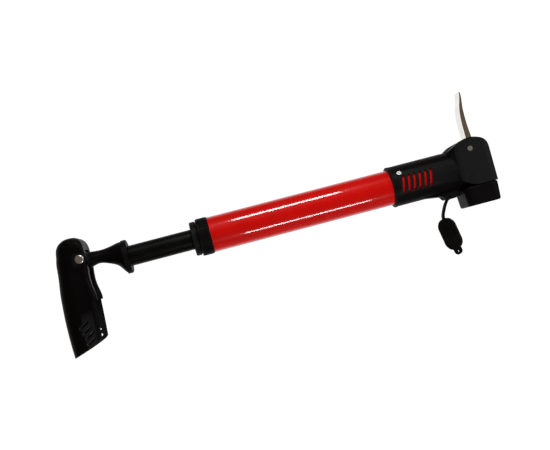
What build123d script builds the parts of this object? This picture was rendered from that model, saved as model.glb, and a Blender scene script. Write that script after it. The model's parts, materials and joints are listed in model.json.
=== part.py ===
from build123d import *
import os
from math import cos, radians, sin

# Bicycle hand pump with a folding handle and a twin-valve head, in millimetres.
# +X runs along the barrel towards the head, +Z is the side the thumb lever stands on,
# and the origin is on the barrel's axis, midway between the collar and the head sleeve.

os.makedirs("parts", exist_ok=True)

# ---------------------------------------------------------------- driving dimensions
FIT = 0.05  # radial clearance of a running or seated fit
GAP = 0.3  # clearance between bodies that only pass each other

# barrel and collar
BARREL_R = 14.0
BORE_R = 12.8
BARREL_START = -72.7
BARREL_END = 110.0
SLEEVE_START = 73.4
COLLAR_NOSE = -87.2
COLLAR_RING = -82.3
COLLAR_NOSE_R = 13.4
COLLAR_RING_R = 14.7
COLLAR_SPIGOT_END = -60.0
BUSH_R = 10.0
RIB_COUNT = 40

# rod, piston and handle neck
ROD_R = 8.0
ROD_BORE_R = 6.0
FLANGE_FACE = -137.2
FLANGE_BACK = -141.4
FLANGE_R = 13.2
PISTON_START = 38.0
PISTON_END = 50.0
PISTON_R = 12.5
RING_SECTION_R = 1.17
RING_GROOVE_R = 10.4
RING_GROOVE_W = 3.0
CROSS_PIN_X = -107.5

# folding handle
PIVOT_X = -172.5
PIVOT_Z = 6.3
HANDLE_HALF_W = 17.3
HANDLE_WALL = 2.2
LIP_END = -26.4
# level sections of the handle: (level, back, front, half width, back radius, front radius)
GRIP_SECTIONS = (
    (-70.0, -195.7, -171.4, 17.3, 15.0, 4.0),
    (-47.0, -196.6, -169.7, 17.3, 15.0, 4.0),
    (LIP_END, -196.0, -168.7, 17.3, 15.0, 4.0),
)
LIP_SECTIONS = (
    (LIP_END, -196.0, -167.3, 17.3, 15.0, 4.0),
    (-21.5, -195.7, -167.4, 17.3, 15.0, 4.0),
    (-15.5, -195.2, -168.5, 17.3, 15.0, 4.0),
    (-9.5, -194.4, -169.0, 17.3, 15.0, 4.0),
    (0.0, -193.3, -168.3, 17.3, 15.0, 4.0),
    (11.0, -191.8, -168.0, 17.3, 15.0, 4.0),
)
CROWN_SECTIONS = (
    (17.0, -190.6, -168.4, 17.1, 14.6, 4.2),
    (21.0, -187.9, -169.9, 15.6, 11.4, 4.8),
    (23.3, -184.0, -172.6, 12.8, 6.4, 4.0),
    (24.2, -181.0, -175.4, 9.4, 2.8, 2.4),
)
# the same sections for the hollow inside
HOLLOW_SECTIONS = (
    (-71.0, -193.5, -173.6, 15.1, 12.8, 1.8),
    (-47.0, -194.4, -171.9, 15.1, 12.8, 1.8),
    (-20.0, -193.6, -171.2, 15.1, 12.8, 1.8),
    (0.0, -191.1, -171.2, 15.1, 12.8, 1.8),
    (11.0, -189.6, -171.2, 15.1, 12.8, 1.8),
    (16.0, -188.4, -171.4, 14.9, 11.0, 2.2),
    (20.0, -185.6, -172.8, 13.2, 7.4, 2.6),
    (21.6, -182.6, -175.0, 10.6, 4.0, 2.4),
)
LIP_HALF_GAP = 9.6
LIP_FLARE_HALF_GAP = 13.6
SLOT_TOP = 13.2
NECK_HALF_W = 6.4
EYE_R = 6.2
WASHER_THICK = 0.5
BOSS_R = 5.0
RIVET_R = 2.5
RIVET_HEAD_R = 3.5
GRIP_SLANT = 31.0
GRIP_SLOT_LENGTH = 8.6
GRIP_SLOT_WIDTH = 1.7
# middles of the slanting grip slots in the handle's side view
GRIP_SLOTS = ((-178.3, -55.4), (-178.4, -50.9), (-179.4, -46.6), (-181.2, -42.7))

# head
SLEEVE_R = 16.0
BODY_START = 123.5
BODY_END = 156.8
BODY_HALF_W = 17.0
SEAM_Z = -15.6
FLOOR_END = 142.0
FLOOR_W = 17.0
FLOOR_T = 4.0
BORE_GAP = 4.0
CAP_START = 128.2
CAP_END = 155.2
CAP_HALF_W = 15.8
CAP_DRAFT = 3.5
CAP_BOTTOM = -31.0
PORT_PITCH = 15.0
PORT_MID_X = 0.5 * (CAP_START + CAP_END)
SCHRADER_X = PORT_MID_X - 0.5 * PORT_PITCH
PRESTA_X = PORT_MID_X + 0.5 * PORT_PITCH
SCHRADER_HOLE_R = 4.1
PRESTA_HOLE_R = 3.2
GROMMET_R = 5.2
PIN_X = 139.7
PIN_Z = 13.2
PIN_R = 2.0
LEVER_HALF_W = 6.2
CAM_R = 5.6
YOKE_TOP = 6.7
POST_R = 5.0
POCKET_TOP = -3.0
SCREW_X = 80.7
SCREW_ANGLE = 31.5
SCREW_HEAD_R = 1.8
VENT_COUNT = 6
VENT_START = 82.0
VENT_PITCH = 4.46
VENT_Z = -0.7
VENT_SLANT = 10.0
VENT_LENGTH = 14.2
VENT_WIDTH = 2.1

# outlet plug and check valve
PLUG_START = 100.5
PLUG_GROOVE = 104.0
PLUG_NOSE_R = 6.0
PLUG_NOSE_END = 117.0
VALVE_CHAMBER_R = 4.0
VALVE_CHAMBER_START = 111.0
DISC_R = 3.2
DISC_START = 111.1
DISC_THICK = 1.2
DISC_LIFT = 1.0
SPRING_R = 2.2
SPRING_WIRE_R = 0.25
SPRING_TURNS = 3

# dust cap and strap
LUG_PIN_X = 117.0
LUG_PIN_Z = -19.0
LUG_HALF_W = 5.0
STRAP_PIN_R = 1.2
EYE_HALF_W = 2.1
STRAP_THICK = 1.9
# middle of the strap from its eye to the cap, in the pump's middle plane
STRAP_ROUTE = (
    (116.2, -20.8),
    (113.2, -24.7),
    (110.9, -29.0),
    (109.4, -32.8),
    (109.6, -36.2),
)
DUST_CAP_TOP = (109.4, 0, -34.6)
DUST_CAP_LEAN = 9.5
DUST_CAP_TURN = 40.0
DUST_CAP_LENGTH = 31.0
DUST_CAP_BODY = 26.5
DUST_CAP_WIDTH = 15.0
TAB_WIDTH = 6.4
TAB_THICK = 2.4
FIRST_PLUG = 7.6
DUST_CAP_THICK = 4.4
PLUG_REACH = 6.3


# ------------------------------------------------------------------------- helpers
def save(builder, name):
    """Labels a finished sub-part and writes it to its own file."""
    builder.part.label = name
    export_step(builder.part, f"parts/{name}.step")


def turned(*outline):
    """A solid of revolution about the barrel's axis from (x, radius) points."""
    with BuildPart() as body:
        with BuildSketch(Plane.XZ):
            with BuildLine():
                Polyline(*outline, close=True)
            make_face()
        revolve(axis=Axis.X)
    return body


def tube(start, end, outer_r, inner_r):
    """A plain sleeve along the barrel's axis."""
    return turned((start, inner_r), (start, outer_r), (end, outer_r), (end, inner_r))


def seal_ring(centre_x, ring_r, section_r):
    """A rubber ring of round section about the barrel's axis."""
    with BuildPart() as body:
        with BuildSketch(Plane.XZ):
            with Locations((centre_x, ring_r)):
                Circle(section_r)
        revolve(axis=Axis.X)
    return body


def cross_pin(x, z, radius, half_length):
    """A plain pin across the pump, along Y."""
    with BuildPart() as body:
        with BuildSketch(Plane.XZ):
            with Locations((x, z)):
                Circle(radius)
        extrude(amount=half_length, both=True)
    return body


# -------------------------------------------------------------------------- barrel
def barrel_tube():
    return tube(BARREL_START, BARREL_END, BARREL_R, BORE_R)


def barrel_end_collar():
    """Knurled collar whose spigot screws into the barrel and holds the rod's bush."""
    nose_edge = 0.7
    groove_x = COLLAR_RING - 0.8
    groove_r = COLLAR_NOSE_R - 0.7
    lip_r = ROD_R + 0.7
    lip_end = COLLAR_NOSE + 1.2
    body = turned(
        (COLLAR_NOSE, lip_r),
        (COLLAR_NOSE, COLLAR_NOSE_R - nose_edge),
        (COLLAR_NOSE + nose_edge, COLLAR_NOSE_R),
        (groove_x, COLLAR_NOSE_R),
        (groove_x, groove_r),
        (COLLAR_RING, groove_r),
        (COLLAR_RING, COLLAR_RING_R - nose_edge),
        (COLLAR_RING + nose_edge, COLLAR_RING_R),
        (BARREL_START - 1.4, COLLAR_RING_R),
        (BARREL_START, COLLAR_RING_R - nose_edge),
        (BARREL_START, BORE_R - FIT),
        (COLLAR_SPIGOT_END, BORE_R - FIT),
        (COLLAR_SPIGOT_END, BUSH_R),
        (lip_end, BUSH_R),
        (lip_end, lip_r),
    )
    groove_len = BARREL_START - COLLAR_RING - 3.0
    with BuildPart() as collar:
        add(body.part)
        with BuildSketch(Plane.YZ.offset(COLLAR_RING + 1.5)):
            with PolarLocations(COLLAR_RING_R + 0.15, RIB_COUNT):
                Circle(0.55)
        extrude(amount=groove_len, mode=Mode.SUBTRACT)
    return collar


def rod_guide_bush():
    return tube(COLLAR_NOSE + 5.2, COLLAR_SPIGOT_END, BUSH_R - FIT, ROD_R + FIT)


def rod_wiper():
    """Ring with a lip that scrapes the rod, between the collar's nose and the bush."""
    start = COLLAR_NOSE + 1.3
    return turned(
        (start, ROD_R + FIT),
        (start, BUSH_R - FIT),
        (start + 3.6, BUSH_R - FIT),
        (start + 3.6, ROD_R + 0.8),
        (start + 1.4, ROD_R + 0.8),
        (start + 0.9, ROD_R + FIT),
    )


# ------------------------------------------------------------------ rod and piston
def piston_rod():
    """Rod tube, drilled across for the pin that holds the handle's neck."""
    blank = tube(FLANGE_FACE + 0.1, PISTON_START - 0.1, ROD_R, ROD_BORE_R)
    hole = cross_pin(CROSS_PIN_X, 0, 1.05, ROD_R + 1)
    with BuildPart() as rod:
        add(blank.part)
        add(hole.part, mode=Mode.SUBTRACT)
    return rod


def stop_bumper():
    return turned(
        (PISTON_START - 5.5, ROD_R + FIT),
        (PISTON_START - 5.5, ROD_R + 2.4),
        (PISTON_START - 4.7, ROD_R + 3.2),
        (PISTON_START - 0.9, ROD_R + 3.2),
        (PISTON_START - 0.1, ROD_R + 2.4),
        (PISTON_START - 0.1, ROD_R + FIT),
    )


def piston_head():
    """Piston with a ring groove and a spigot that plugs the rod's end."""
    groove = 0.5 * (PISTON_START + PISTON_END) - 0.5 * RING_GROOVE_W
    return turned(
        (PISTON_START - 14, 2.1),
        (PISTON_START - 14, ROD_BORE_R - FIT),
        (PISTON_START, ROD_BORE_R - FIT),
        (PISTON_START, PISTON_R),
        (groove, PISTON_R),
        (groove, RING_GROOVE_R),
        (groove + RING_GROOVE_W, RING_GROOVE_R),
        (groove + RING_GROOVE_W, PISTON_R),
        (PISTON_END, PISTON_R),
        (PISTON_END, 2.1),
    )


def piston_seal():
    centre = 0.5 * (PISTON_START + PISTON_END)
    return seal_ring(centre, RING_GROOVE_R + FIT / 2 + RING_SECTION_R, RING_SECTION_R)


def piston_washer():
    return tube(PISTON_END + 0.02, PISTON_END + 1.0, 5.5, 2.1)


def piston_screw():
    """Cross-slotted pan head screw along the piston's axis."""
    head = PISTON_END + 1.02
    blank = turned(
        (PISTON_START - 10, 0),
        (PISTON_START - 10, 1.6),
        (PISTON_START - 9.4, 2.05),
        (head, 2.05),
        (head, 3.8),
        (head + 1.6, 3.8),
        (head + 2.4, 2.8),
        (head + 2.4, 0),
    )
    with BuildPart() as screw:
        add(blank.part)
        with BuildSketch(Plane.YZ.offset(head + 2.4)):
            Rectangle(4.2, 0.9)
            Rectangle(0.9, 4.2)
        extrude(amount=-1.2, mode=Mode.SUBTRACT)
    return screw


# ----------------------------------------------------------------- neck and handle
def handle_neck():
    """Eye round the rivet, narrow neck, trumpet and flange, and the spigot in the rod."""
    pin_hole_r = 1.05
    # (x, middle, half height, half width)
    stations = (
        (PIVOT_X + 2.0, PIVOT_Z - 0.3, 5.3, 6.3),
        (-164.0, 5.3, 5.4, 6.2),
        (-158.0, 5.1, 5.2, 6.2),
        (-152.0, 4.2, 6.6, 7.0),
        (-148.0, 3.5, 8.1, 8.4),
        (-144.6, 1.9, 10.4, 10.4),
        (FLANGE_BACK + 0.3, 0.2, 12.4, 12.4),
    )
    with BuildPart() as neck:
        for x, z, half_height, half_width in stations:
            with BuildSketch(Plane.YZ.offset(x)):
                with Locations((0, z)):
                    Ellipse(half_width, half_height)
        loft()
        with BuildSketch(Plane.XZ):
            with Locations((PIVOT_X, PIVOT_Z)):
                Circle(EYE_R)
        extrude(amount=NECK_HALF_W, both=True)
        with BuildSketch(Plane.YZ.offset(FLANGE_BACK)):
            Circle(FLANGE_R)
        extrude(amount=FLANGE_FACE - FLANGE_BACK)
        rims = neck.edges().filter_by(GeomType.CIRCLE).filter_by(
            lambda e: abs(e.radius - FLANGE_R) < 0.01 and e.center().X > FLANGE_BACK + 1
        )
        fillet(rims, 1.3)
        with BuildSketch(Plane.YZ.offset(FLANGE_FACE)):
            Circle(ROD_BORE_R - FIT)
        extrude(amount=CROSS_PIN_X + 5 - FLANGE_FACE)
        with BuildSketch(Plane.XZ):
            with Locations((PIVOT_X, PIVOT_Z)):
                Circle(RIVET_R + FIT)
        extrude(amount=10, both=True, mode=Mode.SUBTRACT)
        with BuildSketch(Plane.XZ):
            with Locations((CROSS_PIN_X, 0)):
                Circle(pin_hole_r)
        extrude(amount=10, both=True, mode=Mode.SUBTRACT)
    return neck


def neck_cross_pin():
    return cross_pin(CROSS_PIN_X, 0, 1.0, ROD_R - 0.1)


def lofted(sections, ruled=False):
    """Solid through level sections with a flattish front and a round back."""
    with BuildPart() as body:
        for z, back_x, front_x, half_width, back_r, front_r in sections:
            with BuildSketch(Plane.XY.offset(z)) as section:
                with Locations((0.5 * (back_x + front_x), 0)):
                    Rectangle(front_x - back_x, 2 * half_width)
                fillet(section.vertices().sort_by(Axis.X)[:2], back_r)
                fillet(section.vertices().sort_by(Axis.X)[-2:], front_r)
        loft(ruled=ruled)
    return body


def fold_handle():
    """Open channel that the neck, collar and barrel fold into, with inturned upper lips."""
    inner_half = HANDLE_HALF_W - HANDLE_WALL
    open_from = -180.0
    open_to = -160.0
    foot_z = GRIP_SECTIONS[0][0]
    grip = lofted(GRIP_SECTIONS)
    lips = lofted(LIP_SECTIONS)
    crown = lofted(LIP_SECTIONS[-1:] + CROWN_SECTIONS)
    hollow = lofted(HOLLOW_SECTIONS, ruled=True)
    with BuildPart() as handle:
        add(grip.part)
        add(lips.part)
        add(crown.part)
        add(hollow.part, mode=Mode.SUBTRACT)
        # the channel is fully open below the lips
        with BuildSketch(Plane.XY.offset(LIP_END)):
            with Locations((0.5 * (open_from + open_to), 0)):
                Rectangle(open_to - open_from, 2 * inner_half)
        extrude(amount=foot_z - LIP_END - 1, mode=Mode.SUBTRACT)
        # slot between the lips, flared to let the neck's flange by
        with BuildSketch(Plane.YZ.offset(open_from + 6)) as slot:
            with BuildLine():
                Polyline(
                    (-LIP_HALF_GAP, SLOT_TOP),
                    (-LIP_HALF_GAP, LIP_END + 14),
                    (-LIP_FLARE_HALF_GAP, LIP_END + 3),
                    (-LIP_FLARE_HALF_GAP, LIP_END - 1),
                    (LIP_FLARE_HALF_GAP, LIP_END - 1),
                    (LIP_FLARE_HALF_GAP, LIP_END + 3),
                    (LIP_HALF_GAP, LIP_END + 14),
                    (LIP_HALF_GAP, SLOT_TOP),
                    close=True,
                )
            make_face()
            fillet(slot.vertices().sort_by(Axis.Y)[-2:], 4.0)
        extrude(amount=14, mode=Mode.SUBTRACT)
        # slanted foot with a round front corner
        with BuildSketch(Plane.XZ):
            with BuildLine():
                rise = Spline(
                    (open_to, -50.0),
                    (-168.6, -52.4),
                    (-171.4, -55.8),
                    (-175.0, -57.9),
                    (-180.2, -60.1),
                    (-189.0, -63.3),
                    (-202.0, -67.7),
                )
                Polyline(rise @ 1, (-202.0, foot_z - 5), (open_to, foot_z - 5), rise @ 0)
            make_face()
        extrude(amount=30, both=True, mode=Mode.SUBTRACT)
        # bosses that carry the rivet
        with BuildSketch(Plane.XZ):
            with Locations((PIVOT_X, PIVOT_Z)):
                Circle(BOSS_R)
        extrude(amount=inner_half + 0.5, both=True)
        with BuildSketch(Plane.XZ):
            with Locations((PIVOT_X, PIVOT_Z)):
                Circle(BOSS_R + 2)
        extrude(amount=NECK_HALF_W + WASHER_THICK + 2 * FIT, both=True, mode=Mode.SUBTRACT)
        with BuildSketch(Plane.XZ):
            with Locations((PIVOT_X, PIVOT_Z)):
                Circle(RIVET_R + FIT)
        extrude(amount=30, both=True, mode=Mode.SUBTRACT)
        # slanting grip slots through both cheeks
        with BuildSketch(Plane.XZ):
            for x, z in GRIP_SLOTS:
                with Locations(Location((x, z), GRIP_SLANT)):
                    SlotOverall(GRIP_SLOT_LENGTH, GRIP_SLOT_WIDTH)
        extrude(amount=30, both=True, mode=Mode.SUBTRACT)
    return handle


def handle_pivot_rivet():
    """Domed rivet through the handle's cheeks, bosses and the neck's eye."""
    with BuildPart() as rivet:
        with BuildSketch(Plane.XZ):
            with Locations((PIVOT_X, PIVOT_Z)):
                Circle(RIVET_R)
        extrude(amount=HANDLE_HALF_W + 0.5, both=True)
        for side in (-1, 1):
            seat = Plane(
                (PIVOT_X, side * (HANDLE_HALF_W + 0.05), PIVOT_Z), z_dir=(0, side, 0)
            )
            with BuildSketch(seat):
                Circle(RIVET_HEAD_R)
            extrude(amount=1.3)
        rims = rivet.faces().sort_by(Axis.Y)
        fillet(rims[0].edges() + rims[-1].edges(), 1.1)
    return rivet


def handle_pivot_washers():
    with BuildPart() as washers:
        for side in (-1, 1):
            seat = Plane(
                (PIVOT_X, side * (NECK_HALF_W + FIT), PIVOT_Z), z_dir=(0, side, 0)
            )
            with BuildSketch(seat):
                Circle(BOSS_R - 0.2)
                Circle(RIVET_R + FIT, mode=Mode.SUBTRACT)
            extrude(amount=WASHER_THICK)
    return washers


# ---------------------------------------------------------------------------- head
def chuck_block():
    """Upright block of the head: rounded plan, domed top, lower corner cut away by the sleeve."""
    with BuildPart() as block:
        with BuildSketch(Plane.XZ):
            with BuildLine():
                side = Line((BODY_END, SEAM_Z), (BODY_END, 7.0))
                dome = Spline(
                    side @ 1,
                    (156.0, 12.6),
                    (152.6, 17.8),
                    (146.2, 21.0),
                    (139.7, 21.9),
                    (131.5, 19.9),
                    (BODY_START, 15.6),
                    tangents=((0, 1), (-1, -0.5)),
                )
                corner = Spline(
                    (BODY_START, -3.0),
                    (127.2, -9.6),
                    (133.0, -13.6),
                    (139.5, SEAM_Z),
                    tangents=((0.1, -1), (1, -0.2)),
                )
                Line(dome @ 1, corner @ 0)
                Line(corner @ 1, side @ 0)
            make_face()
        extrude(amount=BODY_HALF_W, both=True)
        with BuildSketch(Plane.XY.offset(SEAM_Z - 1)):
            with Locations((0.5 * (BODY_START + BODY_END), 0)):
                RectangleRounded(BODY_END - BODY_START, 2 * BODY_HALF_W, 7.0)
        extrude(amount=45, mode=Mode.INTERSECT)
    return block


def head_housing():
    """Sleeve and chuck body in one moulding, with the lever's slot, plunger pocket and lug."""
    lip_r = SLEEVE_R + 0.25
    outer = turned(
        (SLEEVE_START, 0),
        (SLEEVE_START, SLEEVE_R - 0.5),
        (SLEEVE_START + 0.7, lip_r),
        (SLEEVE_START + 2.2, lip_r),
        (SLEEVE_START + 2.6, SLEEVE_R),
        (BODY_START + 12, SLEEVE_R),
        (BODY_START + 12, 0),
    )
    bore = turned(
        (SLEEVE_START - 1, 0),
        (SLEEVE_START - 1, BARREL_R + FIT),
        (BARREL_END + FIT, BARREL_R + FIT),
        (BARREL_END + FIT, PLUG_NOSE_R + FIT),
        (PLUG_NOSE_END + FIT, PLUG_NOSE_R + FIT),
        (PLUG_NOSE_END + FIT, 1.5),
        (PLUG_NOSE_END + BORE_GAP, 1.5),
        (PLUG_NOSE_END + BORE_GAP, 0),
    )
    duct_x = PLUG_NOSE_END + 3.0
    duct_z = -12.5
    with BuildPart() as housing:
        add(outer.part)
        add(chuck_block().part)
        # floor that closes the plunger pocket beside the cut-away corner
        with BuildSketch(Plane.XY.offset(SEAM_Z)):
            with Locations((0.5 * (CAP_START + FLOOR_END), 0)):
                Rectangle(FLOOR_END - CAP_START, FLOOR_W)
        extrude(amount=FLOOR_T)
        # lug faired into the sleeve, a fork for the strap's eye
        with BuildSketch(Plane.XZ) as lug:
            with BuildLine():
                Polyline(
                    (98.0, -13.5),
                    (98.0, -15.6),
                    (111.5, -17.5),
                    (113.6, -20.6),
                    (121.6, -21.1),
                    (126.4, -20.0),
                    (126.4, -13.5),
                    close=True,
                )
            make_face()
            fillet(lug.vertices().sort_by(Axis.Y)[:2], 1.2)
        extrude(amount=LUG_HALF_W, both=True)
        with BuildSketch(Plane.XY.offset(LUG_PIN_Z - 5)):
            with Locations((LUG_PIN_X - 0.4, 0)):
                Rectangle(9.6, 2 * EYE_HALF_W + 4 * FIT)
        extrude(amount=5 - LUG_PIN_Z - SLEEVE_R, mode=Mode.SUBTRACT)
        with BuildSketch(Plane.XZ):
            with Locations((LUG_PIN_X, LUG_PIN_Z)):
                Circle(STRAP_PIN_R + FIT)
        extrude(amount=10, both=True, mode=Mode.SUBTRACT)
        add(bore.part, mode=Mode.SUBTRACT)
        # vents that show the barrel
        with BuildSketch(Plane.XZ):
            for k in range(VENT_COUNT):
                place = (VENT_START + k * VENT_PITCH, VENT_Z)
                with Locations(Location(place, 90 - VENT_SLANT)):
                    SlotOverall(VENT_LENGTH, VENT_WIDTH)
        extrude(amount=20, both=True, mode=Mode.SUBTRACT)
        # radial hole for the screw that locks the sleeve
        with BuildSketch(screw_plane(BARREL_R - 1)):
            Circle(1.5 + FIT)
        extrude(amount=6, mode=Mode.SUBTRACT)
        # slot that the lever stands and folds in
        with BuildSketch(Plane.XZ):
            with BuildLine():
                Polyline(
                    (149.5, 5.6),
                    (149.5, 40.0),
                    (116.0, 40.0),
                    (116.0, SLEEVE_R + 0.1),
                    (BODY_START, SLEEVE_R - 0.6),
                    (131.0, 12.6),
                    (133.4, 5.6),
                    close=True,
                )
            make_face()
        extrude(amount=LEVER_HALF_W + GAP, both=True, mode=Mode.SUBTRACT)
        # lever pin
        with BuildSketch(Plane.XZ):
            with Locations((PIN_X, PIN_Z)):
                Circle(PIN_R + FIT)
        extrude(amount=30, both=True, mode=Mode.SUBTRACT)
        # pocket for the two plungers, and the hole for the post above it
        with BuildSketch(Plane.XY.offset(SEAM_Z - 1)):
            with Locations((PORT_MID_X, 0)):
                SlotCenterToCenter(PORT_PITCH, 2 * GROMMET_R)
        extrude(amount=POCKET_TOP - SEAM_Z + 1, mode=Mode.SUBTRACT)
        with BuildSketch(Plane.XY.offset(POCKET_TOP - 1)):
            with Locations((PIN_X, 0)):
                Circle(POST_R + FIT)
        extrude(amount=11, mode=Mode.SUBTRACT)
        # air duct from the check valve down to the pocket
        with BuildSketch(Plane.XY.offset(duct_z)):
            with Locations((duct_x, 0)):
                Circle(1.5)
        extrude(amount=-duct_z, mode=Mode.SUBTRACT)
        with BuildSketch(Plane.YZ.offset(duct_x - 1)):
            with Locations((0, duct_z + 1)):
                Circle(1.5)
        extrude(amount=SCHRADER_X - duct_x, mode=Mode.SUBTRACT)
    return housing


def screw_plane(radius):
    """Plane across the sleeve screw's axis, at a radius from the barrel's axis."""
    lean = radians(SCREW_ANGLE)
    outward = Vector(0, -cos(lean), sin(lean))
    return Plane(Vector(SCREW_X, 0, 0) + outward * radius, x_dir=(1, 0, 0), z_dir=outward)


def sleeve_screw():
    """Small cross-slotted screw, its tip on the barrel's surface."""
    with BuildPart() as screw:
        with BuildSketch(screw_plane(BARREL_R + FIT)):
            Circle(1.5)
        extrude(amount=SLEEVE_R - BARREL_R)
        with BuildSketch(screw_plane(SLEEVE_R + FIT)):
            Circle(SCREW_HEAD_R)
        extrude(amount=0.7)
        with BuildSketch(screw_plane(SLEEVE_R + 0.8)):
            Rectangle(2.2, 0.5)
            Rectangle(0.5, 2.2)
        extrude(amount=-0.6, mode=Mode.SUBTRACT)
    return screw


def port_cap():
    """Boxy lower cap with the two valve ports and the pockets of their grommets."""
    depth = SEAM_Z - 0.1 - CAP_BOTTOM
    with BuildPart() as cap:
        with BuildSketch(Plane.XY.offset(CAP_BOTTOM)):
            with Locations((PORT_MID_X, 0)):
                RectangleRounded(CAP_END - CAP_START, 2 * CAP_HALF_W, 6.4)
        extrude(amount=depth, taper=-CAP_DRAFT)
        fillet(cap.faces().sort_by(Axis.Z)[-1].edges(), 1.6)
        fillet(cap.faces().sort_by(Axis.Z)[0].edges(), 1.8)
        for x, hole_r in ((SCHRADER_X, SCHRADER_HOLE_R), (PRESTA_X, PRESTA_HOLE_R)):
            with BuildSketch(Plane.XY.offset(CAP_BOTTOM - 1)):
                with Locations((x, 0)):
                    Circle(hole_r)
            extrude(amount=8, mode=Mode.SUBTRACT)
            with BuildSketch(Plane.XY.offset(CAP_BOTTOM + 3.0)):
                with Locations((x, 0)):
                    Circle(GROMMET_R + FIT)
            extrude(amount=20, mode=Mode.SUBTRACT)
    return cap


def grommet(x, bore_r):
    """Rubber sleeve that grips a valve, flared at the mouth."""
    foot = CAP_BOTTOM + 3.05
    head = SEAM_Z - 0.45
    with BuildPart() as ring:
        with BuildSketch(Plane.XY.offset(foot)):
            with Locations((x, 0)):
                Circle(GROMMET_R)
                Circle(bore_r, mode=Mode.SUBTRACT)
        extrude(amount=head - foot)
        mouth = ring.edges().group_by(Axis.Z)[0].sort_by(SortBy.RADIUS)[0]
        chamfer(mouth, 0.7)
    return ring


def schrader_grommet():
    return grommet(SCHRADER_X, SCHRADER_HOLE_R - 0.1)


def presta_grommet():
    return grommet(PRESTA_X, PRESTA_HOLE_R - 0.1)


def strap_pin():
    return cross_pin(LUG_PIN_X, LUG_PIN_Z, STRAP_PIN_R, LUG_HALF_W - 0.1)


def plunger_yoke():
    """Post under the lever's cam, a bridge, and one foot over each grommet."""
    bridge_top = POCKET_TOP - 1.6
    bridge_foot = bridge_top - 4.4
    foot_z = SEAM_Z - 0.4
    groove_z = -1.8
    with BuildPart() as yoke:
        with BuildSketch(Plane.XY.offset(bridge_foot)):
            with Locations((PORT_MID_X, 0)):
                SlotCenterToCenter(PORT_PITCH, 2 * GROMMET_R - 0.4)
        extrude(amount=bridge_top - bridge_foot)
        with BuildSketch(Plane.XY.offset(foot_z)):
            with Locations((SCHRADER_X, 0), (PRESTA_X, 0)):
                Circle(GROMMET_R - 0.2)
        extrude(amount=bridge_foot - foot_z)
        with BuildSketch(Plane.XY.offset(bridge_top)):
            with Locations((PIN_X, 0)):
                Circle(POST_R)
        extrude(amount=YOKE_TOP - bridge_top)
        with BuildSketch(Plane.XY.offset(groove_z)):
            with Locations((PIN_X, 0)):
                Circle(POST_R + 1)
                Circle(POST_R - 1.6, mode=Mode.SUBTRACT)
        extrude(amount=2.0, mode=Mode.SUBTRACT)
        with BuildSketch(Plane.XY.offset(foot_z)):
            with Locations((SCHRADER_X, 0)):
                Circle(1.2 + FIT)
        extrude(amount=8.0, mode=Mode.SUBTRACT)
        with BuildSketch(Plane.XY.offset(foot_z)):
            with Locations((PRESTA_X, 0)):
                Circle(2.4)
        extrude(amount=8.0, mode=Mode.SUBTRACT)
    return yoke


def yoke_seal():
    """Ring in the post's groove."""
    with BuildPart() as ring:
        with BuildSketch(Plane.XZ):
            with Locations((PIN_X + POST_R - 0.76, -0.8)):
                Circle(0.78)
        revolve(axis=Axis((PIN_X, 0, 0), (0, 0, 1)))
    return ring


def depressor_pin():
    with BuildPart() as pin:
        with BuildSketch(Plane.XY.offset(SEAM_Z - 5.2)):
            with Locations((SCHRADER_X, 0)):
                Circle(1.2)
        extrude(amount=12.6)
        fillet(pin.edges().group_by(Axis.Z)[0], 0.6)
    return pin


def thumb_lever():
    """Lever with its cam, straight at the foot and curling outwards to a thin tip."""
    with BuildPart() as lever:
        with BuildSketch(Plane.XZ):
            with BuildLine():
                inner = Line((142.2, 11.0), (142.2, 32.0))
                sweep_in = Spline(
                    inner @ 1,
                    (142.6, 40.5),
                    (143.9, 48.5),
                    (145.9, 55.5),
                    (146.6, 60.2),
                    tangents=((0, 1), (0.05, 1)),
                )
                tip = Line(sweep_in @ 1, (147.5, 59.6))
                sweep_out = Spline(
                    tip @ 1,
                    (147.3, 54.5),
                    (146.4, 48.0),
                    (146.0, 40.5),
                    (146.2, 31.0),
                    (147.0, 20.0),
                )
                foot = Line(sweep_out @ 1, (146.8, 12.5))
                Line(foot @ 1, inner @ 0)
            make_face()
        extrude(amount=LEVER_HALF_W, both=True)
        with BuildSketch(Plane.XZ):
            with Locations((PIN_X + 1.0, PIN_Z - 0.8)):
                Circle(CAM_R)
        extrude(amount=LEVER_HALF_W, both=True)
        with BuildSketch(Plane.XZ):
            with Locations((PIN_X, PIN_Z)):
                Circle(PIN_R + FIT)
        extrude(amount=30, both=True, mode=Mode.SUBTRACT)
        # rounded corners at the tip, seen along the lever's thickness
        tip_edges = lever.edges().filter_by(GeomType.LINE).filter_by(
            lambda e: e.center().Z > 57 and e.length < 3
        )
        fillet(tip_edges, 1.2)
    return lever


def lever_pin():
    """Pin with a flat along it, its ends flush with the head's cheeks."""
    with BuildPart() as pin:
        with BuildSketch(Plane.XZ):
            with Locations((PIN_X, PIN_Z)):
                Circle(PIN_R)
        extrude(amount=BODY_HALF_W - 0.1, both=True)
    return pin


def outlet_plug():
    """Plug in the barrel's head end, with the check valve's seat and chamber."""
    groove = PLUG_GROOVE
    return turned(
        (PLUG_START, 1.5),
        (PLUG_START, BORE_R - FIT),
        (groove, BORE_R - FIT),
        (groove, RING_GROOVE_R),
        (groove + RING_GROOVE_W, RING_GROOVE_R),
        (groove + RING_GROOVE_W, BORE_R - FIT),
        (BARREL_END, BORE_R - FIT),
        (BARREL_END, PLUG_NOSE_R),
        (PLUG_NOSE_END, PLUG_NOSE_R),
        (PLUG_NOSE_END, VALVE_CHAMBER_R),
        (VALVE_CHAMBER_START, VALVE_CHAMBER_R),
        (VALVE_CHAMBER_START, 1.5),
    )


def outlet_plug_seal():
    centre = PLUG_GROOVE + 0.5 * RING_GROOVE_W
    return seal_ring(centre, RING_GROOVE_R + FIT / 2 + RING_SECTION_R, RING_SECTION_R)


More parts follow.
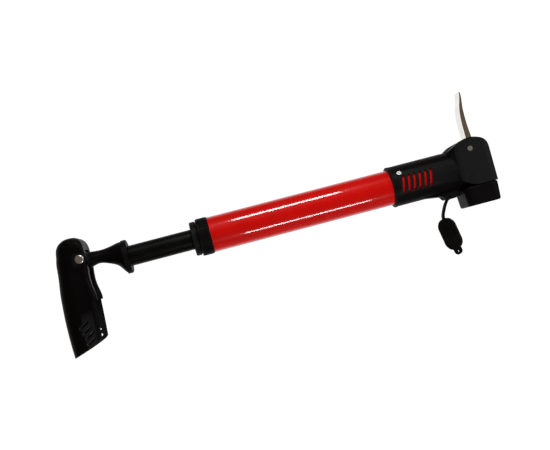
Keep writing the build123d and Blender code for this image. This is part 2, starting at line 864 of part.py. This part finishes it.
def check_valve_disc():
    return turned(
        (DISC_START, 0),
        (DISC_START, DISC_R),
        (DISC_START + DISC_THICK, DISC_R),
        (DISC_START + DISC_THICK, 0),
    )


def check_valve_spring():
    """Light coil between the disc and the end of the chamber."""
    start = DISC_START + DISC_THICK + DISC_LIFT + SPRING_WIRE_R + FIT
    length = PLUG_NOSE_END - SPRING_WIRE_R - start
    with BuildPart() as spring:
        with BuildLine() as coil:
            Helix(
                pitch=length / SPRING_TURNS,
                height=length,
                radius=SPRING_R,
                center=(start, 0, 0),
                direction=(1, 0, 0),
            )
        with BuildSketch(Plane(coil.line @ 0, z_dir=coil.line % 0)):
            Circle(SPRING_WIRE_R)
        sweep(is_frenet=True)
    return spring


# ------------------------------------------------------------------ dust cap, strap
def dust_cap_plane(reach=0.0):
    """Plane of the cap's back face: x down its length, z the way its plugs point."""
    lean = radians(DUST_CAP_LEAN)
    turn = radians(DUST_CAP_TURN)
    down = Vector(sin(lean), 0, -cos(lean))
    out = Vector(cos(turn), sin(turn), 0)
    out = (out - down * out.dot(down)).normalized()
    return Plane(Vector(*DUST_CAP_TOP) + out * reach, x_dir=down, z_dir=out)


def dust_cap():
    """One rubber moulding: eye, strap, oval plate, a plug for each port and a pull tab."""
    half_thick = 0.5 * DUST_CAP_THICK
    with BuildPart() as cap:
        with BuildSketch(dust_cap_plane(-half_thick)):
            with Locations((0.5 * DUST_CAP_BODY, 0)):
                SlotOverall(DUST_CAP_BODY, DUST_CAP_WIDTH)
        extrude(amount=DUST_CAP_THICK)
        fillet(cap.faces().sort_by(SortBy.AREA)[-1].edges(), 1.6)
        with BuildSketch(dust_cap_plane(-0.5 * TAB_THICK)):
            with Locations((0.5 * (DUST_CAP_LENGTH + DUST_CAP_BODY - 4), 0)):
                SlotOverall(DUST_CAP_LENGTH - DUST_CAP_BODY + 4, TAB_WIDTH)
        extrude(amount=TAB_THICK)
        with BuildSketch(dust_cap_plane(-half_thick)):
            with Locations((DUST_CAP_LENGTH - 2.6, 0)):
                Circle(1.1)
        extrude(amount=DUST_CAP_THICK, mode=Mode.SUBTRACT)
        # Schrader plug: short and wide, with a small nub
        with BuildSketch(dust_cap_plane(half_thick - 0.2)):
            with Locations((FIRST_PLUG, 0)):
                Circle(3.7)
        extrude(amount=2.6)
        with BuildSketch(dust_cap_plane(half_thick + 2.4)):
            with Locations((FIRST_PLUG, 0)):
                Circle(2.2)
        extrude(amount=1.8)
        # Presta plug: stem and ball
        with BuildSketch(dust_cap_plane(half_thick - 0.2)):
            with Locations((FIRST_PLUG + PORT_PITCH, 0)):
                Circle(1.7)
        extrude(amount=PLUG_REACH - half_thick)
        ball = dust_cap_plane(PLUG_REACH)
        with Locations(ball.from_local_coords((FIRST_PLUG + PORT_PITCH, 0, 0))):
            Sphere(2.5)
        # strap and eye
        with BuildSketch(Plane.XZ):
            with BuildLine():
                Spline(*STRAP_ROUTE)
            trace(line_width=STRAP_THICK)
        extrude(amount=EYE_HALF_W - 0.3, both=True)
        with BuildSketch(Plane.XZ):
            with Locations((LUG_PIN_X, LUG_PIN_Z)):
                Circle(2.4)
        extrude(amount=EYE_HALF_W, both=True)
        with BuildSketch(Plane.XZ):
            with Locations((LUG_PIN_X, LUG_PIN_Z)):
                Circle(STRAP_PIN_R + FIT)
        extrude(amount=10, both=True, mode=Mode.SUBTRACT)
    return cap


# --------------------------------------------------------------------------- write
PARTS = (
    barrel_tube,
    barrel_end_collar,
    rod_guide_bush,
    rod_wiper,
    piston_rod,
    stop_bumper,
    piston_head,
    piston_seal,
    piston_washer,
    piston_screw,
    handle_neck,
    neck_cross_pin,
    fold_handle,
    handle_pivot_rivet,
    handle_pivot_washers,
    head_housing,
    sleeve_screw,
    port_cap,
    schrader_grommet,
    presta_grommet,
    plunger_yoke,
    yoke_seal,
    depressor_pin,
    thumb_lever,
    lever_pin,
    outlet_plug,
    outlet_plug_seal,
    check_valve_disc,
    check_valve_spring,
    dust_cap,
    strap_pin,
)

for make in PARTS:
    save(make(), make.__name__)
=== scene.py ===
import json
from math import cos, radians, sin

import bpy
from mathutils import Matrix, Vector

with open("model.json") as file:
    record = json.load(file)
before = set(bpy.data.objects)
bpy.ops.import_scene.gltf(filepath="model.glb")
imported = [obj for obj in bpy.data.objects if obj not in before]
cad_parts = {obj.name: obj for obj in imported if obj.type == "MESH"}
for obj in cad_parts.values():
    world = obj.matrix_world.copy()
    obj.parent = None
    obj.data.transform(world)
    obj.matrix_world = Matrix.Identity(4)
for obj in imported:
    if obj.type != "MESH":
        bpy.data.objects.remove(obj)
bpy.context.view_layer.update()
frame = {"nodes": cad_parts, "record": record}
nodes = frame["nodes"]

ORIGIN = (0.0, 0.0, 0.0)
WHITE = (1.0, 1.0, 1.0, 1.0)
FLOOR_HALF_SIZE = 4.0
FLOOR_LEVEL = -0.42
BACKDROP_STRENGTH = 1.05
# the surroundings along Y: dim and warm up to SWEEP_START, white from SWEEP_END
SWEEP_START = 0.3
SWEEP_END = 0.95
ROOM_IN_FRONT = (0.10, 0.077, 0.053, 1)
SWEEP_BEHIND = (0.95, 0.95, 0.98, 1)
# how far the surface bends outwards where wear starts and where it is full
WEAR_START = 0.52
WEAR_FULL = 0.60


# ------------------------------------------------------------------ camera and stage
def add_camera():
    """A camera beside the pump, a little below its axis, rolled so that the barrel climbs."""
    azimuth, elevation, roll = radians(4.366), radians(-2.345), radians(-14.91)
    distance, focal_px, image_px, sensor_mm = 0.624, 794.2, 550, 36.0
    target = Vector((-0.0222, 0.0, -0.0054))
    forward = Vector(
        (sin(azimuth) * cos(elevation), cos(azimuth) * cos(elevation), -sin(elevation))
    )
    level = forward.cross(Vector((0, 0, 1))).normalized()
    above = level.cross(forward)
    right = level * cos(roll) + above * sin(roll)
    up = above * cos(roll) - level * sin(roll)
    data = bpy.data.cameras.new("camera")
    data.sensor_width = sensor_mm
    data.lens = focal_px / image_px * sensor_mm
    data.clip_start = 0.01
    camera = bpy.data.objects.new("camera", data)
    bpy.context.collection.objects.link(camera)
    turn = Matrix((right, up, -forward)).transposed().to_4x4()
    camera.matrix_world = Matrix.Translation(target - forward * distance) @ turn
    bpy.context.scene.camera = camera


def area_light(name, place, aim, size_x, size_y, power, long_axis=(1, 0, 0)):
    """A soft box at place, facing aim, its long side along long_axis."""
    data = bpy.data.lights.new(name, "AREA")
    data.shape = "RECTANGLE"
    data.size, data.size_y = size_x, size_y
    data.energy = power
    light = bpy.data.objects.new(name, data)
    bpy.context.collection.objects.link(light)
    back = (Vector(place) - Vector(aim)).normalized()
    side = Vector(long_axis)
    side = (side - back * side.dot(back)).normalized()
    turn = Matrix((side, back.cross(side), back)).transposed().to_4x4()
    light.matrix_world = Matrix.Translation(place) @ turn
    light.visible_camera = False
    return light


def add_floor():
    """Pale floor well below the pump, which neither lights it nor shows in its gloss."""
    half, level = FLOOR_HALF_SIZE, FLOOR_LEVEL
    mesh = bpy.data.meshes.new("floor")
    signs = ((-1, -1), (1, -1), (1, 1), (-1, 1))
    corners = [(x * half, y * half, level) for x, y in signs]
    mesh.from_pydata(corners, [], [(0, 1, 2, 3)])
    floor = bpy.data.objects.new("floor", mesh)
    bpy.context.collection.objects.link(floor)
    pale = bpy.data.materials.new("pale_floor")
    pale.use_nodes = True
    shader = pale.node_tree.nodes["Principled BSDF"]
    shader.inputs["Base Color"].default_value = (0.92, 0.92, 0.92, 1)
    shader.inputs["Roughness"].default_value = 0.8
    shader.inputs["Emission Color"].default_value = WHITE
    shader.inputs["Emission Strength"].default_value = 0.9
    mesh.materials.append(pale)
    floor.visible_diffuse = False
    floor.visible_glossy = False


def add_surroundings():
    """White behind everything; what the pump reflects is dim in front and white behind."""
    world = bpy.data.worlds.new("studio")
    bpy.context.scene.world = world
    world.use_nodes = True
    tree = world.node_tree
    tree.nodes.clear()
    rays = tree.nodes.new("ShaderNodeLightPath")
    seen = tree.nodes.new("ShaderNodeBackground")
    seen.inputs["Color"].default_value = WHITE
    seen.inputs["Strength"].default_value = BACKDROP_STRENGTH
    place = tree.nodes.new("ShaderNodeTexCoord")
    axes = tree.nodes.new("ShaderNodeSeparateXYZ")
    tree.links.new(place.outputs["Generated"], axes.inputs[0])
    sweep = tree.nodes.new("ShaderNodeMapRange")
    sweep.interpolation_type = "SMOOTHSTEP"
    sweep.inputs["From Min"].default_value = SWEEP_START
    sweep.inputs["From Max"].default_value = SWEEP_END
    tree.links.new(axes.outputs["Y"], sweep.inputs["Value"])
    tint = tree.nodes.new("ShaderNodeMix")
    tint.data_type = "RGBA"
    tint.inputs[6].default_value = ROOM_IN_FRONT
    tint.inputs[7].default_value = SWEEP_BEHIND
    tree.links.new(sweep.outputs["Result"], tint.inputs[0])
    around = tree.nodes.new("ShaderNodeBackground")
    tree.links.new(tint.outputs[2], around.inputs["Color"])
    pick = tree.nodes.new("ShaderNodeMixShader")
    out = tree.nodes.new("ShaderNodeOutputWorld")
    tree.links.new(rays.outputs["Is Camera Ray"], pick.inputs["Fac"])
    tree.links.new(around.outputs[0], pick.inputs[1])
    tree.links.new(seen.outputs[0], pick.inputs[2])
    tree.links.new(pick.outputs[0], out.inputs["Surface"])


def add_lights():
    """Two windows for the streaks along the barrel, two broad fills and a box at the head."""
    area_light("upper_window", (0.062, -0.46, 0.63), (-0.012, 0.0, 0.0), 0.19, 0.15, 2.2)
    area_light("lower_window", (0.062, -0.33, -0.385), (0.003, 0.0, 0.0), 0.18, 0.06, 0.75)
    # the fills give no streak of their own
    for name, place, size_x, size_y, power in (
        ("front_fill", (-0.2, -1.0, 0.7), 1.0, 0.6, 4.0),
        ("under_fill", (0.0, 0.12, -0.40), 0.9, 0.4, 1.8),
    ):
        fill = area_light(name, place, ORIGIN, size_x, size_y, power)
        fill.visible_glossy = False
    area_light("right_box", (1.0, -0.45, 0.3), ORIGIN, 0.5, 0.5, 3.0, (0, 1, 0))


# ------------------------------------------------------------------------- materials
class Nodes:
    """A material under construction: short calls that add and link shader nodes."""

    def __init__(self, name):
        self.material = bpy.data.materials.new(name)
        self.material.use_nodes = True
        self.tree = self.material.node_tree
        self.shader = self.tree.nodes["Principled BSDF"]
        place = self.tree.nodes.new("ShaderNodeTexCoord")
        self.where = place.outputs["Object"]

    def link(self, source, target):
        self.tree.links.new(source, target)

    def set(self, **values):
        """Constants on the shader's own sockets, named with _ for spaces."""
        for name, value in values.items():
            self.shader.inputs[name.replace("_", " ")].default_value = value

    def stretched(self, scale):
        """Object coordinates, scaled along X, Y and Z."""
        node = self.tree.nodes.new("ShaderNodeMapping")
        node.inputs["Scale"].default_value = scale
        self.link(self.where, node.inputs["Vector"])
        return node.outputs["Vector"]

    def noise(self, scale, detail=3.0, roughness=0.55, where=None):
        node = self.tree.nodes.new("ShaderNodeTexNoise")
        node.inputs["Scale"].default_value = scale
        node.inputs["Detail"].default_value = detail
        node.inputs["Roughness"].default_value = roughness
        self.link(where or self.where, node.inputs["Vector"])
        return node.outputs["Fac"]

    def cells(self, scale):
        node = self.tree.nodes.new("ShaderNodeTexVoronoi")
        node.inputs["Scale"].default_value = scale
        self.link(self.where, node.inputs["Vector"])
        return node.outputs["Distance"]

    def ramp(self, value, low, high, to_low, to_high):
        """value from low..high mapped to to_low..to_high, clamped."""
        node = self.tree.nodes.new("ShaderNodeMapRange")
        sockets = ("From Min", "From Max", "To Min", "To Max")
        for socket, number in zip(sockets, (low, high, to_low, to_high)):
            node.inputs[socket].default_value = number
        self.link(value, node.inputs["Value"])
        return node.outputs["Result"]

    def mix(self, factor, first, second):
        """Colour between first and second."""
        node = self.tree.nodes.new("ShaderNodeMix")
        node.data_type = "RGBA"
        self.link(factor, node.inputs[0])
        for socket, value in ((node.inputs[6], first), (node.inputs[7], second)):
            if isinstance(value, tuple):
                socket.default_value = value
            else:
                self.link(value, socket)
        return node.outputs[2]

    def sum(self, first, second, share=0.5):
        """first + share * second."""
        node = self.tree.nodes.new("ShaderNodeMath")
        node.operation = "MULTIPLY_ADD"
        self.link(second, node.inputs[0])
        node.inputs[1].default_value = share
        self.link(first, node.inputs[2])
        return node.outputs[0]

    def edges(self):
        """1 on worn outer edges, 0 elsewhere."""
        node = self.tree.nodes.new("ShaderNodeNewGeometry")
        return self.ramp(node.outputs["Pointiness"], WEAR_START, WEAR_FULL, 0.0, 1.0)

    def bump(self, height, strength, depth):
        node = self.tree.nodes.new("ShaderNodeBump")
        node.inputs["Strength"].default_value = strength
        node.inputs["Distance"].default_value = depth
        self.link(height, node.inputs["Height"])
        self.link(node.outputs["Normal"], self.shader.inputs["Normal"])

    def colour(self, socket):
        self.link(socket, self.shader.inputs["Base Color"])

    def rough(self, socket):
        self.link(socket, self.shader.inputs["Roughness"])


def red_paint():
    """Gloss red paint: slight orange peel, faint mottling, fine lengthwise scuffs."""
    m = Nodes("red_paint")
    mottle = m.noise(60.0, 2.0)
    scuffs = m.noise(900.0, 4.0, 0.7, m.stretched((0.04, 1.0, 1.0)))
    shade = m.ramp(mottle, 0.35, 0.65, 0.0, 1.0)
    m.colour(m.mix(shade, (0.66, 0.0012, 0.001, 1), (0.74, 0.0016, 0.0013, 1)))
    m.rough(m.ramp(scuffs, 0.45, 0.75, 0.28, 0.42))
    m.set(Coat_Weight=1.0, Coat_Roughness=0.055, Specular_IOR_Level=0.08)
    m.bump(m.noise(420.0, 2.0), 0.012, 0.0002)
    return m.material


def black_plastic():
    """Satin moulded plastic: fine spark-eroded grain, slight flow marks, paler worn edges."""
    m = Nodes("black_plastic")
    flow = m.noise(45.0, 3.0, 0.5, m.stretched((1.0, 1.0, 0.45)))
    grain = m.cells(3200.0)
    dust = m.noise(420.0, 5.0, 0.75)
    shade = m.ramp(flow, 0.3, 0.7, 0.0, 1.0)
    base = m.mix(shade, (0.0018, 0.0015, 0.0016, 1), (0.0036, 0.0031, 0.0034, 1))
    dusty = m.mix(m.ramp(dust, 0.60, 0.82, 0.0, 0.5), base, (0.009, 0.0088, 0.0092, 1))
    m.colour(m.mix(m.edges(), dusty, (0.012, 0.0118, 0.0122, 1)))
    m.rough(m.sum(m.ramp(flow, 0.3, 0.7, 0.36, 0.46), dust, 0.12))
    m.set(Specular_IOR_Level=0.07)
    m.bump(m.sum(grain, m.noise(1500.0, 3.0), 0.7), 0.18, 0.0001)
    return m.material


def black_anodised():
    """Anodised tube: fine lengthwise draw lines and rubbed patches."""
    m = Nodes("black_anodised")
    lines = m.noise(1400.0, 3.0, 0.6, m.stretched((0.02, 1.0, 1.0)))
    rubbed = m.noise(70.0, 4.0, 0.6)
    shade = m.ramp(rubbed, 0.45, 0.75, 0.0, 1.0)
    m.colour(m.mix(shade, (0.002, 0.002, 0.0022, 1), (0.005, 0.005, 0.0053, 1)))
    m.rough(m.sum(m.ramp(lines, 0.3, 0.7, 0.26, 0.36), rubbed, 0.1))
    m.set(Specular_IOR_Level=0.12)
    m.bump(lines, 0.06, 0.00005)
    return m.material


def black_rubber():
    """Matte rubber with a soft bloom and a fine pitted skin."""
    m = Nodes("black_rubber")
    bloom = m.noise(160.0, 4.0, 0.6)
    pits = m.cells(2600.0)
    shade = m.ramp(bloom, 0.4, 0.7, 0.0, 1.0)
    m.colour(m.mix(shade, (0.002, 0.002, 0.002, 1), (0.005, 0.005, 0.005, 1)))
    m.rough(m.ramp(bloom, 0.3, 0.7, 0.52, 0.68))
    m.set(Specular_IOR_Level=0.1)
    m.bump(m.sum(pits, m.noise(900.0, 3.0), 0.6), 0.2, 0.00012)
    return m.material


def grey_nylon():
    """Natural nylon: slightly mottled and waxy."""
    m = Nodes("grey_nylon")
    mottle = m.noise(120.0, 3.0)
    shade = m.ramp(mottle, 0.35, 0.65, 0.0, 1.0)
    m.colour(m.mix(shade, (0.27, 0.275, 0.28, 1), (0.36, 0.365, 0.37, 1)))
    m.rough(m.ramp(mottle, 0.3, 0.7, 0.38, 0.52))
    m.set(Subsurface_Weight=0.1)
    m.bump(m.noise(1600.0, 2.0), 0.1, 0.0001)
    return m.material


def metal(name, dark, bright, low_rough, high_rough, stretch):
    """Bare metal with fine directional scratches and cloudy tarnish."""
    m = Nodes(name)
    scratches = m.noise(1800.0, 4.0, 0.7, m.stretched(stretch))
    cloud = m.noise(130.0, 3.0)
    m.colour(m.mix(m.ramp(cloud, 0.35, 0.65, 0.0, 1.0), dark, bright))
    m.rough(m.ramp(scratches, 0.35, 0.7, low_rough, high_rough))
    m.set(Metallic=1.0)
    m.bump(scratches, 0.03, 0.00002)
    return m.material


def zinc_steel():
    dark, bright = (0.80, 0.80, 0.83, 1), (0.93, 0.93, 0.96, 1)
    return metal("zinc_steel", dark, bright, 0.26, 0.38, (1, 1, 1))


def dark_steel():
    dark, bright = (0.02, 0.02, 0.022, 1), (0.05, 0.05, 0.052, 1)
    return metal("dark_steel", dark, bright, 0.3, 0.45, (1, 1, 1))


def brass_pin():
    dark, bright = (0.6, 0.42, 0.16, 1), (0.8, 0.6, 0.28, 1)
    return metal("brass_pin", dark, bright, 0.2, 0.35, (1, 1, 0.1))


def lever_metal():
    dark, bright = (0.82, 0.79, 0.72, 1), (0.92, 0.90, 0.84, 1)
    return metal("lever_metal", dark, bright, 0.14, 0.22, (1, 1, 0.06))


def finish_nodes():
    """Gives every CAD node the material of its record slot."""
    makers = (
        red_paint, black_plastic, black_anodised, black_rubber, grey_nylon,
        zinc_steel, dark_steel, brass_pin, lever_metal,
    )
    made = {maker.__name__: maker() for maker in makers}
    for part in frame["record"]["subparts"]:
        node = nodes[part["node"]]
        for place in node.material_slots:
            place.material = made[part["material_slot"]]


add_camera()
add_floor()
add_surroundings()
add_lights()
bpy.context.scene.view_settings.view_transform = "Standard"
finish_nodes()
